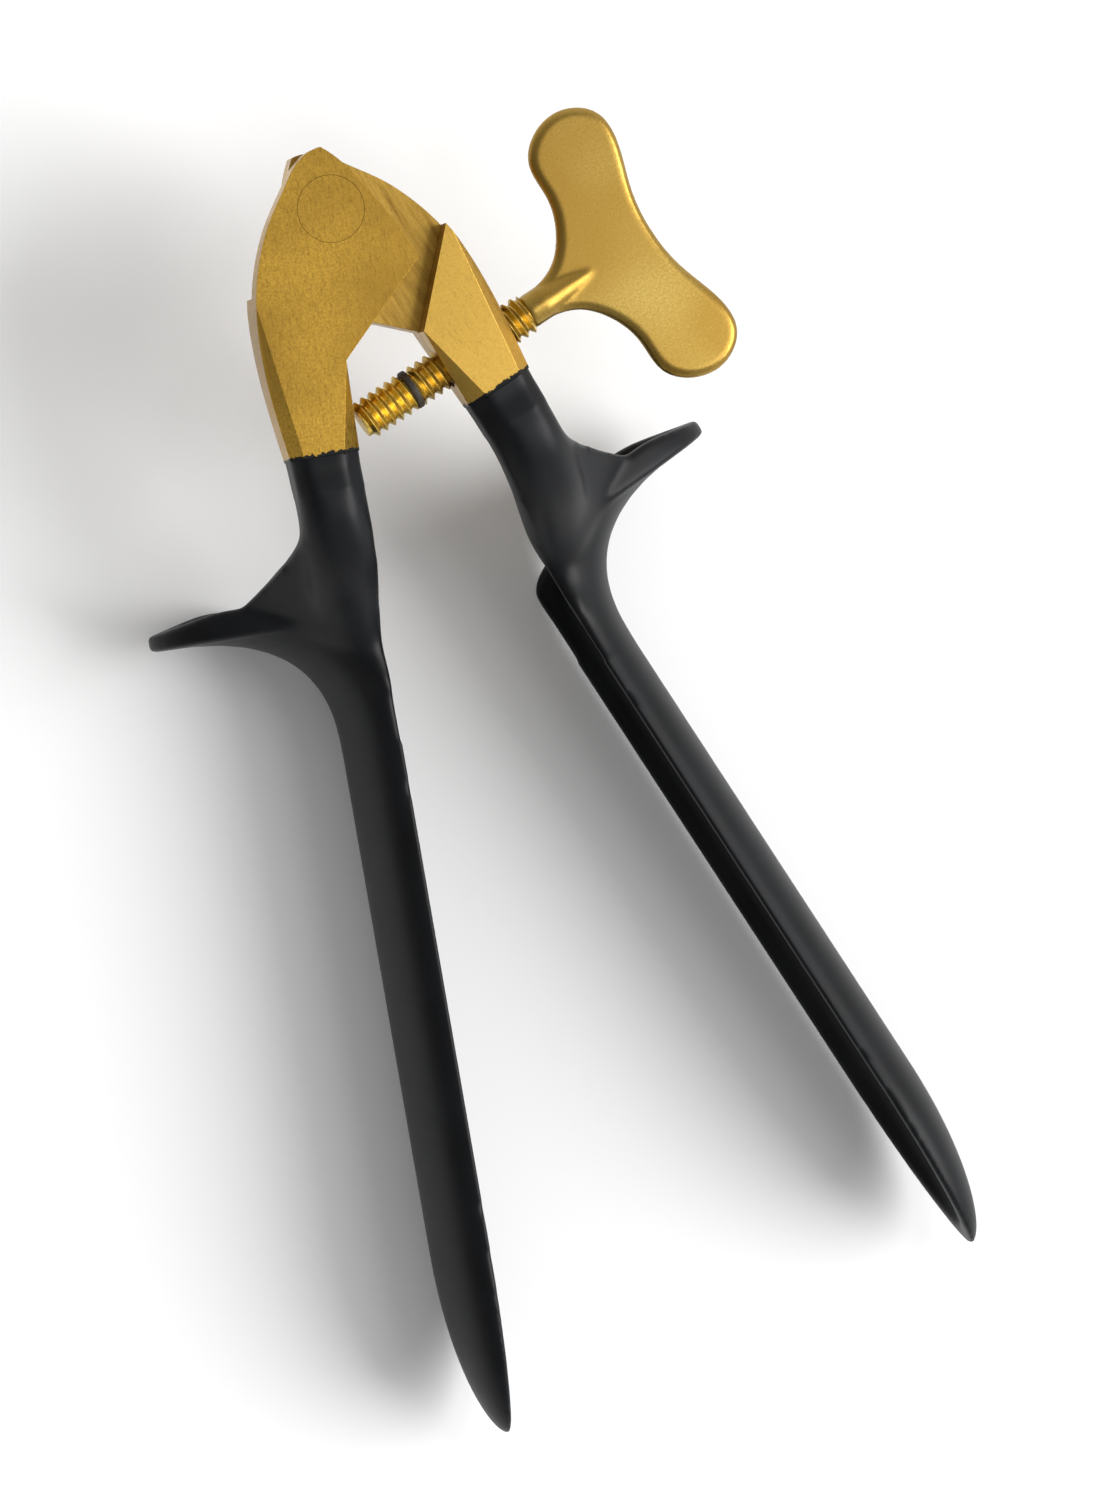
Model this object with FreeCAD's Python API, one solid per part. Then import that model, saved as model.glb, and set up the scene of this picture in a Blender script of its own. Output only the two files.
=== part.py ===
import FreeCAD, Part
import math
import os

os.makedirs("parts", exist_ok=True)

# A bivalve anal speculum. Two arms are lapped on one hinge pin and carry trough blades with lip flanges.
# A wing-headed set screw through the right arm pushes the left arm away and so spreads the blades.
# The origin is on the hinge axis, in the flat underside of the head. The right half lies along -Y.
# Each half is drawn with a = distance from the hinge along the half, n = distance outward from the plane
# where the two halves meet when closed, and z = height above the underside. The left half is a mirror.

# Opening of the left half as shown
REST_OPENING = 23.5

# How far a cutting shape runs past what it cuts
OVERRUN = 5.0

# Arms and lapped head
ARM_THICK = 8.0
LAP_GAP = 0.10
HEAD_REACH = 7.0
HEAD_CORNER_DOWN = 6.8
HEAD_CORNER_ACROSS = 8.9
ARM_INNER_OFFSET = 1.2
ARM_OUTER_OFFSET = 9.15
ARM_WAIST_OFFSET = 10.4
SHOULDER_GAP = 1.85
OUTER_BEVEL = 1.4
OUTER_BEVEL_START = 6.0
OUTER_BEVEL_CLEAR = 0.25
INNER_BEVEL = 2.0
COAT_LINE = 27.0

# Outer edge of the head as shares of its reach above the hinge, or of the coat line's distance below it,
# and of the arm's widest offset
HEAD_OUTER_CURVE = ((0.843, 0.25), (0.40, 0.481), (-0.057, 0.683), (-0.586, 0.846))
ARM_OUTER_CURVE = ((0.315, 0.962), (0.511, 1.0), (0.726, 0.971))

# Cross edge of the head as shares of the way from its tip to its corner
HEAD_CROSS_CURVE = ((0.21, 0.315), (0.471, 0.573), (0.725, 0.798))

# Hinge pin
PIN_D = 5.0
PIN_HEAD_D = 7.5
PIN_HEAD_H = 1.3
PIN_CLEARANCE = 0.05

# Blades
BLADE_TIP = 139.6
NOSE_LENGTH = 21.6
NOSE_POINT = 1.15
NOSE_STEPS = 6
BLADE_HALF_WIDTH = 10.0
BLADE_DEPTH = 5.6
BLADE_WALL = 1.6
BLADE_TIP_WALL = 2.6
BLADE_CENTRE_Z = -17.0
RIM_INSET = 0.14

# Lip flange
FLANGE_DOWN = 43.4
FLANGE_REACH = 25.4
FLANGE_HALF_WIDTH = 11.0
FLANGE_THICK = 2.3
FLANGE_EDGE_THICK = 1.9
LIP_LENGTH = 17.3
LIP_OVERLAP = 6.0
FLARE_POWER = 0.75
FLARE_STEPS = 10

# Rounded mouth of the blade and near face of the flange: distance below the flange's edge, and offset
MOUTH_CURVE = (
    (9.1, 0.0),
    (6.5, 0.75),
    (5.2, 2.4),
    (4.3, 4.6),
    (2.4, 7.9),
    (-0.2, 12.2),
    (-1.3, 15.7),
    (-0.9, 20.5),
)

# Web between shank and flange. Its outer edge sags inward between the shank and the flange's near face,
# and its end follows the mouth curve a little way inside the lip. Its top meets the lip's near edge at the
# mouth curve's point number WEB_SEAT.
WEB_START = 35.0
WEB_ROOT = 8.6
WEB_REACH = 15.3
WEB_SAG = 0.7
WEB_STEPS = 5
WEB_FOOT = 4.5
WEB_SINK = 0.8
WEB_SEAT = 4
WEB_TOP_DROP = 1.5
WEB_CORNER = 1.3
WEB_DEPTH = 3.2

# Shank sections: distance past the coat line, inner and outer offset, low and high side,
# outer and inner bevel
SHANK_SECTIONS = (
    (0.0, 1.2, 9.15, 0.0, 8.0, 1.4, 2.0),
    (3.5, 1.2, 8.95, 0.0, 8.0, 1.6, 2.1),
    (7.5, 1.0, 8.85, -0.8, 7.6, 1.9, 2.2),
    (11.5, 0.7, 8.65, -4.0, 5.2, 2.1, 2.1),
    (15.5, 0.44, 8.15, -8.7, 0.8, 2.2, 1.8),
    (19.5, 0.24, 6.7, -11.0, -4.8, 2.2, 1.4),
    (23.5, 0.0, 4.4, -11.2, -6.8, 2.0, 0.9),
    (28.5, 0.0, 2.5, -11.2, -8.1, 1.2, 0.6),
)

# Set screw
SCREW_DOWN = 21.9
SCREW_D = 4.76
SCREW_TIP_BEVEL = 0.62
SCREW_BORE_CLEARANCE = 0.05
SCREW_TIP_GAP = 0.25
NECK_START = 12.7
SPIGOT_D = 3.0
SPIGOT_LENGTH = 3.2
RING_OFFSET = -3.0
RING_WIDTH = 1.0
RING_OUTER_D = 4.68
RING_INNER_D = 3.7
RING_CLEARANCE = 0.05

# Wing of the screw, seen face on: distance from the screw's axis and distance past the neck's start
WING_THICK = 2.0
WING_NECK_R = 1.95
WING_COLLAR = 2.2
WING_TAPER = 6.7
WING_EDGE_R = 0.6
WING_OUTLINE = (
    (1.95, 0.0),
    (1.95, 2.5),
    (3.0, 5.3),
    (5.4, 7.5),
    (9.4, 8.95),
    (13.8, 9.35),
    (17.0, 14.9),
    (14.4, 19.0),
    (9.4, 18.9),
    (5.0, 17.5),
    (0.0, 16.9),
)


def place(a, n, z):
    """Turn a half's own distances into the part's frame."""
    return FreeCAD.Vector(n, -a, z)


def flat_face(points, z):
    """A face in a level plane from (a, n) points."""
    corners = [place(a, n, z) for a, n in points]
    return Part.Face(Part.makePolygon(corners + corners[:1]))


def prism(points, z_low, z_high):
    """An upright solid over (a, n) points."""
    return flat_face(points, z_low).extrude(FreeCAD.Vector(0, 0, z_high - z_low))


def spline_edge(points):
    """One smooth edge through points in the part's frame."""
    curve = Part.BSplineCurve()
    curve.interpolate(points)
    return curve.toShape()


def line_edge(start, end):
    """One straight edge."""
    return Part.LineSegment(start, end).toShape()


def half_space(through, outside):
    """A thick slab on the outer side of the plane through three points."""
    first, second, third = through
    size = 2 * BLADE_TIP
    normal = (second - first).cross(third - first)
    normal.normalize()
    if normal.dot(outside - first) < 0:
        normal = normal * -1
    corner = FreeCAD.Vector(-size / 2, -size / 2, 0)
    slab = Part.makeBox(size, size, size / 2, corner)
    slab.Placement = FreeCAD.Placement(first, FreeCAD.Rotation(FreeCAD.Vector(0, 0, 1), normal))
    return slab


def cylinder_z(radius, z_low, z_high):
    """An upright round solid on the hinge axis."""
    return Part.makeCylinder(radius, z_high - z_low, place(0, 0, z_low), FreeCAD.Vector(0, 0, 1))


def cylinder_n(radius, n_low, n_high):
    """A round solid on the screw's axis."""
    base = place(SCREW_DOWN, n_low, ARM_THICK / 2)
    return Part.makeCylinder(radius, n_high - n_low, base, FreeCAD.Vector(1, 0, 0))


def cone_n(radius_low, radius_high, n_low, n_high):
    """A tapered round solid on the screw's axis."""
    base = place(SCREW_DOWN, n_low, ARM_THICK / 2)
    return Part.makeCone(radius_low, radius_high, n_high - n_low, base, FreeCAD.Vector(1, 0, 0))


def to_left(shape):
    """Mirror a half and swing it open about the hinge axis."""
    mirrored = shape.mirror(FreeCAD.Vector(0, 0, 0), FreeCAD.Vector(1, 0, 0))
    mirrored.rotate(FreeCAD.Vector(0, 0, 0), FreeCAD.Vector(0, 0, 1), -REST_OPENING)
    return mirrored


def head_edge_end():
    """Where the head's 45 degree edge meets the arm's inner side."""
    return HEAD_CORNER_DOWN + HEAD_CORNER_ACROSS + ARM_INNER_OFFSET


def arm_outline():
    """The arm seen from above: a pointed head whose cross side ends in a 45 degree edge."""
    tip = place(-HEAD_REACH, 0, 0)
    corner = place(HEAD_CORNER_DOWN, -HEAD_CORNER_ACROSS, 0)
    edge_end = place(head_edge_end(), ARM_INNER_OFFSET, 0)
    outer = [tip]
    for up, out in HEAD_OUTER_CURVE:
        outer.append(place(-up * HEAD_REACH, out * ARM_WAIST_OFFSET, 0))
    for down, out in ARM_OUTER_CURVE:
        outer.append(place(down * COAT_LINE, out * ARM_WAIST_OFFSET, 0))
    outer.append(place(COAT_LINE, ARM_OUTER_OFFSET, 0))
    cross = [tip]
    for down, across in HEAD_CROSS_CURVE:
        cross_down = down * (HEAD_REACH + HEAD_CORNER_DOWN) - HEAD_REACH
        cross.append(place(cross_down, -across * HEAD_CORNER_ACROSS, 0))
    cross.append(corner)
    coat_end = place(COAT_LINE, ARM_INNER_OFFSET, 0)
    edges = [
        spline_edge(outer),
        line_edge(outer[-1], coat_end),
        line_edge(coat_end, edge_end),
        line_edge(edge_end, corner),
        spline_edge(cross),
    ]
    return Part.Face(Part.Wire(Part.__sortEdges__(edges)))


def arm_bevels():
    """Long facets on the arm's four long edges, growing towards the coated length."""
    cutters = []
    start = head_edge_end()
    far = COAT_LINE + OVERRUN
    left = -HEAD_CORNER_ACROSS
    right = ARM_OUTER_OFFSET - OVERRUN / 2
    inner_points = ((start, left), (far, left), (far, right), (start, right))
    inner_side = prism(inner_points, -OVERRUN, ARM_THICK + OVERRUN)
    for face_z, inward in ((ARM_THICK, -1), (0.0, 1)):
        outside_z = face_z - inward * OVERRUN
        outer = (
            place(OUTER_BEVEL_START, ARM_WAIST_OFFSET + OUTER_BEVEL_CLEAR, face_z),
            place(COAT_LINE, ARM_OUTER_OFFSET - OUTER_BEVEL, face_z),
            place(COAT_LINE, ARM_OUTER_OFFSET, face_z + inward * OUTER_BEVEL),
        )
        cutters.append(half_space(outer, place(COAT_LINE, ARM_OUTER_OFFSET + OVERRUN, outside_z)))
        inner = (
            place(start, ARM_INNER_OFFSET, face_z),
            place(COAT_LINE, ARM_INNER_OFFSET + INNER_BEVEL, face_z),
            place(COAT_LINE, ARM_INNER_OFFSET, face_z + inward * INNER_BEVEL),
        )
        slab = half_space(inner, place(COAT_LINE, ARM_INNER_OFFSET - OVERRUN, outside_z))
        cutters.append(slab.common(inner_side))
    return cutters


def arm(upper):
    """One brass arm; its head keeps the upper or the lower half of the thickness."""
    body = arm_outline().extrude(FreeCAD.Vector(0, 0, ARM_THICK))
    shoulder_sum = HEAD_CORNER_DOWN + HEAD_CORNER_ACROSS + SHOULDER_GAP * math.sqrt(2)
    reach = COAT_LINE + OVERRUN
    lap = ((-reach, -reach), (shoulder_sum + reach, -reach), (shoulder_sum - reach, reach), (-reach, reach))
    middle = ARM_THICK / 2
    if upper:
        body = body.cut(prism(lap, -OVERRUN, middle + LAP_GAP / 2))
    else:
        body = body.cut(prism(lap, middle - LAP_GAP / 2, ARM_THICK + OVERRUN))
    for cutter in arm_bevels():
        body = body.cut(cutter)
    return body


def pin_head(upper, clearance=0.0):
    """A cone head, flush with the outer face of its lap."""
    wide = PIN_HEAD_D / 2 + clearance
    narrow = PIN_D / 2 + clearance
    up = FreeCAD.Vector(0, 0, 1)
    if upper:
        base = place(0, 0, ARM_THICK - PIN_HEAD_H - clearance)
        return Part.makeCone(narrow, wide, PIN_HEAD_H + clearance, base, up)
    return Part.makeCone(wide, narrow, PIN_HEAD_H, place(0, 0, 0), up)


def pin_hole(upper):
    """The pin's way through one lap, with its countersink at the outer face."""
    clearance = PIN_CLEARANCE if upper else 0.0
    hole = cylinder_z(PIN_D / 2 + clearance, -OVERRUN, ARM_THICK + OVERRUN)
    return hole.fuse(pin_head(upper, clearance))


def pivot_pin():
    """The hinge rivet with both heads dressed flush."""
    body = cylinder_z(PIN_D / 2, 0, ARM_THICK)
    return body.fuse([pin_head(True), pin_head(False)]).removeSplitter()


def half_oval(a, depth, half_width):
    """A closed half-oval section in the plane across the blade, flat along n = 0."""
    low = FreeCAD.Vector(0, 0, -1)
    high = FreeCAD.Vector(0, 0, 1)
    bow = Part.Arc(low, FreeCAD.Vector(1, 0, 0), high).toShape()
    section = Part.Wire([bow, line_edge(high, low)])
    stretch = FreeCAD.Matrix()
    stretch.A11 = depth
    stretch.A33 = half_width
    section = section.transformGeometry(stretch)
    section.translate(place(a, 0, BLADE_CENTRE_Z))
    return Part.Wire(section.Edges)


def lip_start():
    """Where the flare leaves the even trough."""
    return FLANGE_DOWN + LIP_LENGTH


def nose_start():
    """Where the even trough turns into the pointed end."""
    return BLADE_TIP - NOSE_LENGTH


def straight_run(depth, half_width):
    """The even stretch of a trough, inside or outside."""
    start = lip_start()
    return Part.Face(half_oval(start, depth, half_width)).extrude(place(nose_start() - start, 0, 0))


def nose(tip, depth, half_width):
    """Half of a pointed oval end: a revolved outline squeezed to the blade's depth."""
    start = nose_start()
    length = tip - start
    outline = []
    for step in range(NOSE_STEPS + 1):
        turn = math.pi / 2 * step / NOSE_STEPS
        radius = half_width * max(math.cos(turn), 0.0) ** NOSE_POINT
        outline.append(place(start + length * math.sin(turn), 0, radius))
    outline[-1] = place(tip, 0, 0)
    centre = place(start, 0, 0)
    edges = [line_edge(centre, outline[0]), spline_edge(outline), line_edge(outline[-1], centre)]
    face = Part.Face(Part.Wire(edges))
    body = face.revolve(FreeCAD.Vector(0, 0, 0), FreeCAD.Vector(0, 1, 0), 180)
    squeeze = FreeCAD.Matrix()
    squeeze.A11 = depth / half_width
    body = body.transformGeometry(squeeze)
    body.translate(FreeCAD.Vector(0, 0, BLADE_CENTRE_Z))
    return body


def trumpet(edge_a, edge_depth, edge_half, depth, half_width):
    """A flare that leaves the trough's oval and sweeps out to a flange, with a straight run past it."""
    sections = []
    for step in range(FLARE_STEPS + 1):
        turn = math.pi / 2 * step / FLARE_STEPS
        along = 1 - max(math.cos(turn), 0.0) ** FLARE_POWER
        out = 1 - math.sin(turn) ** FLARE_POWER
        a = edge_a + (lip_start() - edge_a) * along
        spread = half_width + (edge_half - half_width) * math.sqrt(out)
        sections.append(half_oval(a, depth + (edge_depth - depth) * out, spread))
    flare = Part.makeLoft(sections, True, True)
    return flare.fuse(Part.Face(sections[0]).extrude(place(-LIP_OVERLAP, 0, 0)))


def lip_outside():
    """The flare from the trough's back out to the lip flange's far face."""
    edge_a = FLANGE_DOWN + FLANGE_EDGE_THICK
    return trumpet(edge_a, FLANGE_REACH, FLANGE_HALF_WIDTH, BLADE_DEPTH, BLADE_HALF_WIDTH)


def lumen_flare():
    """The dished inside of the lip, from the trough out to the flange's near face."""
    edge_half = FLANGE_HALF_WIDTH - FLANGE_EDGE_THICK
    inner_depth = BLADE_DEPTH - BLADE_WALL
    inner_half = BLADE_HALF_WIDTH - BLADE_WALL
    return trumpet(FLANGE_DOWN, FLANGE_REACH - FLANGE_THICK, edge_half, inner_depth, inner_half)


def mouth_cut():
    """What is open above the lip and the blade's rounded mouth corners."""
    curve_points = [place(FLANGE_DOWN + down, n, 0) for down, n in MOUTH_CURVE]
    reach = FLANGE_REACH + OVERRUN
    curve_points.append(place(FLANGE_DOWN, reach, 0))
    above = FLANGE_DOWN - 2 * OVERRUN
    corners = [
        curve_points[-1],
        place(above, reach, 0),
        place(above, -OVERRUN, 0),
        place(FLANGE_DOWN + MOUTH_CURVE[0][0], -OVERRUN, 0),
        curve_points[0],
    ]
    edges = [spline_edge(curve_points)]
    edges += [line_edge(start, end) for start, end in zip(corners, corners[1:])]
    face = Part.Face(Part.Wire(edges))
    height = 4 * FLANGE_HALF_WIDTH
    face.translate(FreeCAD.Vector(0, 0, BLADE_CENTRE_Z - height / 2))
    return face.extrude(FreeCAD.Vector(0, 0, height))


def shank_section(a, n_low, n_high, z_low, z_high, outer, inner):
    """An eight-sided section across the shank."""
    corners = (
        (n_low + inner, z_low),
        (n_high - outer, z_low),
        (n_high, z_low + outer),
        (n_high, z_high - outer),
        (n_high - outer, z_high),
        (n_low + inner, z_high),
        (n_low, z_high - inner),
        (n_low, z_low + inner),
    )
    points = [place(COAT_LINE + a, n, z) for n, z in corners]
    return Part.makePolygon(points + points[:1])


def shank():
    """The coated neck that leaves the arm and drops to the blade's near wall."""
    return Part.makeLoft([shank_section(*section) for section in SHANK_SECTIONS], True, False)


def oval_top(n, reach, half_width):
    """The height of a half oval's near side at an offset."""
    return BLADE_CENTRE_Z + half_width * math.sqrt(1 - (n / reach) ** 2)


def gusset():
    """The web that carries the shank's outer side out to the flange's near edge."""
    root = ARM_OUTER_OFFSET - WEB_DEPTH
    web_end = FLANGE_DOWN + WEB_SINK
    corner_a = FLANGE_DOWN - WEB_CORNER
    outline = [(WEB_START, WEB_ROOT - OUTER_BEVEL), (WEB_START, WEB_ROOT)]
    for step in range(1, WEB_STEPS):
        share = step / WEB_STEPS
        sag = 4 * WEB_SAG * share * (1 - share)
        a = WEB_START + (corner_a - WEB_START) * share
        outline.append((a, WEB_ROOT + (WEB_REACH - WEB_ROOT) * share - sag))
    outline += [(corner_a, WEB_REACH), (web_end, WEB_REACH)]
    for down, n in reversed(MOUTH_CURVE):
        if WEB_FOOT < n < WEB_REACH:
            outline.append((FLANGE_DOWN + down + WEB_SINK, n))
    web_end_z = oval_top(WEB_REACH, FLANGE_REACH, FLANGE_HALF_WIDTH)
    root_z = oval_top(root, FLANGE_REACH, FLANGE_HALF_WIDTH)
    seat_down, seat = MOUTH_CURVE[WEB_SEAT]
    seat_z = oval_top(seat, FLANGE_REACH, FLANGE_HALF_WIDTH)
    web = prism(outline, web_end_z - WEB_DEPTH, ARM_THICK)
    shoulder = ARM_OUTER_OFFSET - OUTER_BEVEL
    slope = (
        place(WEB_START, shoulder, ARM_THICK - WEB_TOP_DROP),
        place(corner_a, WEB_REACH, web_end_z),
        place(FLANGE_DOWN + seat_down, seat, seat_z),
    )
    web = web.cut(half_space(slope, place(FLANGE_DOWN, WEB_REACH, ARM_THICK + OVERRUN)))
    under = (
        place(WEB_START, shoulder, WEB_TOP_DROP),
        place(FLANGE_DOWN - WEB_TOP_DROP, WEB_REACH, web_end_z - WEB_DEPTH / 2),
        place(FLANGE_DOWN - WEB_TOP_DROP, root / 2, root_z - WEB_DEPTH / 2),
    )
    return web.cut(half_space(under, place(WEB_START, WEB_REACH, BLADE_CENTRE_Z - FLANGE_HALF_WIDTH)))


def blade():
    """The coated half: shank, gusset, lip flange and trough in one forging."""
    inner_depth = BLADE_DEPTH - BLADE_WALL
    inner_half = BLADE_HALF_WIDTH - BLADE_WALL
    back = straight_run(BLADE_DEPTH, BLADE_HALF_WIDTH)
    back = back.fuse(nose(BLADE_TIP, BLADE_DEPTH, BLADE_HALF_WIDTH))
    hollow = straight_run(inner_depth, inner_half)
    hollow = hollow.fuse(nose(BLADE_TIP - BLADE_TIP_WALL, inner_depth, inner_half))
    trough = back.cut(hollow)
    lip = lip_outside().cut(mouth_cut()).fuse([shank(), gusset()]).cut(lumen_flare())
    far = BLADE_TIP + OVERRUN
    near = COAT_LINE - OVERRUN
    strip = ((near, -OVERRUN), (far, -OVERRUN), (far, RIM_INSET), (near, RIM_INSET))
    inset = prism(strip, BLADE_CENTRE_Z - 2 * FLANGE_HALF_WIDTH, ARM_THICK + OVERRUN)
    return trough.fuse(lip).cut(inset)


def screw_tip():
    """Where the screw's flat end stands, a named gap short of the opened left arm's inner face."""
    opening = math.radians(REST_OPENING)
    end_radius = SCREW_D / 2 - SCREW_TIP_BEVEL
    near_a = SCREW_DOWN - end_radius
    return -(ARM_INNER_OFFSET - SCREW_TIP_GAP + near_a * math.sin(opening)) / math.cos(opening)


def screw_shank():
    """The rod with its bevelled tip, its ring groove and the spigot that the wing is soldered on."""
    tip = screw_tip()
    radius = SCREW_D / 2
    bevel_end = tip + SCREW_TIP_BEVEL
    rod = cylinder_n(radius, bevel_end, NECK_START)
    point = cone_n(radius - SCREW_TIP_BEVEL, radius, tip, bevel_end)
    spigot = cylinder_n(SPIGOT_D / 2, NECK_START - SPIGOT_D / 2, NECK_START + SPIGOT_LENGTH)
    half_groove = RING_WIDTH / 2 + RING_CLEARANCE
    groove = cylinder_n(SCREW_D, RING_OFFSET - half_groove, RING_OFFSET + half_groove)
    core = cylinder_n(RING_INNER_D / 2 - RING_CLEARANCE, RING_OFFSET - SCREW_D, RING_OFFSET + SCREW_D)
    return rod.fuse([point, spigot]).cut(groove.cut(core)).removeSplitter()


def friction_ring():
    """The dark ring that sits in the screw's groove, level with the thread's crests."""
    low = RING_OFFSET - RING_WIDTH / 2
    high = RING_OFFSET + RING_WIDTH / 2
    ring = cylinder_n(RING_OUTER_D / 2, low, high)
    return ring.cut(cylinder_n(RING_INNER_D / 2, low - RING_WIDTH, high + RING_WIDTH))


def wing_outline():
    """The dog-bone wing seen face on, symmetrical about the screw's axis."""
    right = [place(SCREW_DOWN + v, NECK_START + u, 0) for v, u in WING_OUTLINE]
    left = [place(SCREW_DOWN - v, NECK_START + u, 0) for v, u in WING_OUTLINE]
    sweep = right + left[-2::-1]
    return Part.Face(Part.Wire([spline_edge(sweep), line_edge(sweep[-1], sweep[0])]))


def screw_wing():
    """The flat wing with a round neck that takes the rod's spigot."""
    middle = ARM_THICK / 2
    face = wing_outline()
    face.translate(FreeCAD.Vector(0, 0, middle - WING_THICK / 2))
    plate = face.extrude(FreeCAD.Vector(0, 0, WING_THICK))
    longest = max(edge.Length for edge in plate.Edges)
    rim = [edge for edge in plate.Edges if edge.Length > longest / 2]
    plate = plate.makeChamfer(WING_EDGE_R, rim)
    collar_end = NECK_START + WING_COLLAR
    collar = cylinder_n(WING_NECK_R, NECK_START, collar_end)
    neck = cone_n(WING_NECK_R, WING_THICK / 2, collar_end, collar_end + WING_TAPER)
    hole = cylinder_n(SPIGOT_D / 2, NECK_START - SPIGOT_LENGTH, NECK_START + SPIGOT_LENGTH)
    return plate.fuse([collar, neck]).cut(hole).removeSplitter()


def right_arm():
    """The lower-lapped arm with the pin's hole and the screw's bore."""
    bore_radius = SCREW_D / 2 + SCREW_BORE_CLEARANCE
    bore = cylinder_n(bore_radius, ARM_INNER_OFFSET - OVERRUN, ARM_WAIST_OFFSET + OVERRUN)
    return arm(False).cut(pin_hole(False)).cut(bore)


def left_arm():
    """The upper-lapped arm; the plate turns on the pin under its head."""
    return to_left(arm(True).cut(pin_hole(True)))


def left_blade():
    """The mirrored coated half."""
    return to_left(blade())


nodes = {
    "right_arm": right_arm,
    "right_blade": blade,
    "pivot_pin": pivot_pin,
    "left_arm": left_arm,
    "left_blade": left_blade,
    "screw_shank": screw_shank,
    "screw_wing": screw_wing,
    "friction_ring": friction_ring,
}

for name, make in nodes.items():
    solid = make()
    box = solid.optimalBoundingBox()
    print(
        name,
        "solids", len(solid.Solids),
        "valid", solid.isValid(),
        "volume %.1f" % solid.Volume,
        "x %.2f %.2f" % (box.XMin, box.XMax),
        "y %.2f %.2f" % (box.YMin, box.YMax),
        "z %.2f %.2f" % (box.ZMin, box.ZMax),
    )
    solid.exportStep("parts/%s.step" % name)
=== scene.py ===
"""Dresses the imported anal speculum: satin brass lap joint and thumbscrew, satin black coated blades."""

import math

import bmesh
import bpy
from bpy.props import FloatProperty, FloatVectorProperty, IntProperty, PointerProperty
from mathutils import Euler, Matrix, Vector


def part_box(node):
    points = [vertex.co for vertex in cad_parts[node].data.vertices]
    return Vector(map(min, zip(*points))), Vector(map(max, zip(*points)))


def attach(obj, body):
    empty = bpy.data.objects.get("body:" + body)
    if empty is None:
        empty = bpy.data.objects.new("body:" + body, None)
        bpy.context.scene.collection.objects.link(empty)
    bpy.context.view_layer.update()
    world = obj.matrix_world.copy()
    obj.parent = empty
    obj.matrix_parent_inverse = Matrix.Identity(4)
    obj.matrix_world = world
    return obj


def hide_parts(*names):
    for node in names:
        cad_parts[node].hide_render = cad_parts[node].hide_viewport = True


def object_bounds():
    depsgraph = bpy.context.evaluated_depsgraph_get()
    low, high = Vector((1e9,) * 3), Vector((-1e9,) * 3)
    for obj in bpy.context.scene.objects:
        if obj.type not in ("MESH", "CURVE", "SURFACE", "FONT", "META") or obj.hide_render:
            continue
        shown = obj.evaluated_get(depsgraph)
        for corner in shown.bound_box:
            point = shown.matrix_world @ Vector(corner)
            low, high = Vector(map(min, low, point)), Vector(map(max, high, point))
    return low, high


bl_info = {
    "name": "Anal speculum",
    "version": (1, 0, 0),
    "blender": (4, 5, 0),
    "location": "View3D > Sidebar > Speculum",
    "description": "Builds the visible pieces of a bivalve anal speculum round its packed solids",
    "category": "Add Mesh",
}

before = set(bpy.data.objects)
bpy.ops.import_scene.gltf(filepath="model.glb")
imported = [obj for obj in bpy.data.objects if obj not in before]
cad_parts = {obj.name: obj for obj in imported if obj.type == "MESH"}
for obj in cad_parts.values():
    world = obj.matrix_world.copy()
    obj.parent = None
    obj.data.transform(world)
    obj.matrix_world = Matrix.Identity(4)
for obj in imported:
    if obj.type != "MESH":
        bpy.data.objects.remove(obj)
CAD_LOW, CAD_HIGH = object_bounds()

MM = 0.001
HALF_OPENING = math.radians(23.5)
COAT_LINE = 0.027
SCREW_AXIS_Y = -0.0219
SCREW_AXIS_Z = 0.004
LAP_PLANE = 4.0 * MM

# Meshes: distances below which geometry touches, and points are one.
TOUCHING = 1e-7
SAME_POINT = 1e-6

# Arms: flat faces are joined, and edges are broken except close round the hinge pin.
FLAT_ANGLE = math.radians(0.5)
SHARP_ANGLE = math.radians(18)
PIN_SURROUND = 4.2 * MM
BREAK_STEPS = 3

# Blades: the end at the coat line is lengthened for the smoothing and cut off again.
COAT_LINE_SLACK = 0.01 * MM
END_STUB = 3 * MM
THROAT_NEAR = 31 * MM
THROAT_FAR = 60 * MM
THROAT_REACH = 11 * MM

# Screw: the profile gives shares of the pitch and of the depth.
THREAD_PROFILE = ((0.0, 0.0), (0.05, 0.0), (0.46, 1.0), (0.54, 1.0), (0.95, 0.0), (1.0, 0.0))
THREAD_STEPS = 40
THREAD_RADIUS = 2.38 * MM
THREAD_MERGE = 0.01 * MM
THREAD_CREASE = math.radians(38)
TIP_CHAMFER = 0.62 * MM
CORE_RADIUS = 1.78 * MM
CORE_OVERLAP = 0.3 * MM
ROUND_STEPS = 64
RING_GAP = 0.05 * MM
RING_OUTER = 2.34 * MM
RING_INNER = 1.86 * MM
RING_ROUND = 0.22 * MM
RING_INSET = 0.08 * MM
RING_CORNER_STEPS = 3

# Patterns, in cycles per metre.
GRIT_SCALE = 5200.0
SPECKLE_SCALE = 3600.0
TONE_SCALE = 70.0
SPOT_SCALE = 1100.0
STREAK_SCALE = 1500.0
RAGGED_SCALE = 1300.0
PEBBLE_SCALE = 1400.0
WEAR_SCALE = 120.0
DUST_SCALE = 2500.0

# Bands of a pattern's value between which its effect grows from none to full.
GRIT_BAND = (0.3, 0.7)
SPECKLE_BAND = (0.38, 0.66)
TONE_BAND = (0.38, 0.62)
SPOT_BAND = (0.72, 0.86)
STREAK_BAND = (0.3, 0.7)
COAT_WORN_BAND = (0.35, 0.7)
COAT_GLOSS_BAND = (0.3, 0.7)
DUST_BAND = (0.5, 0.8)

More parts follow.
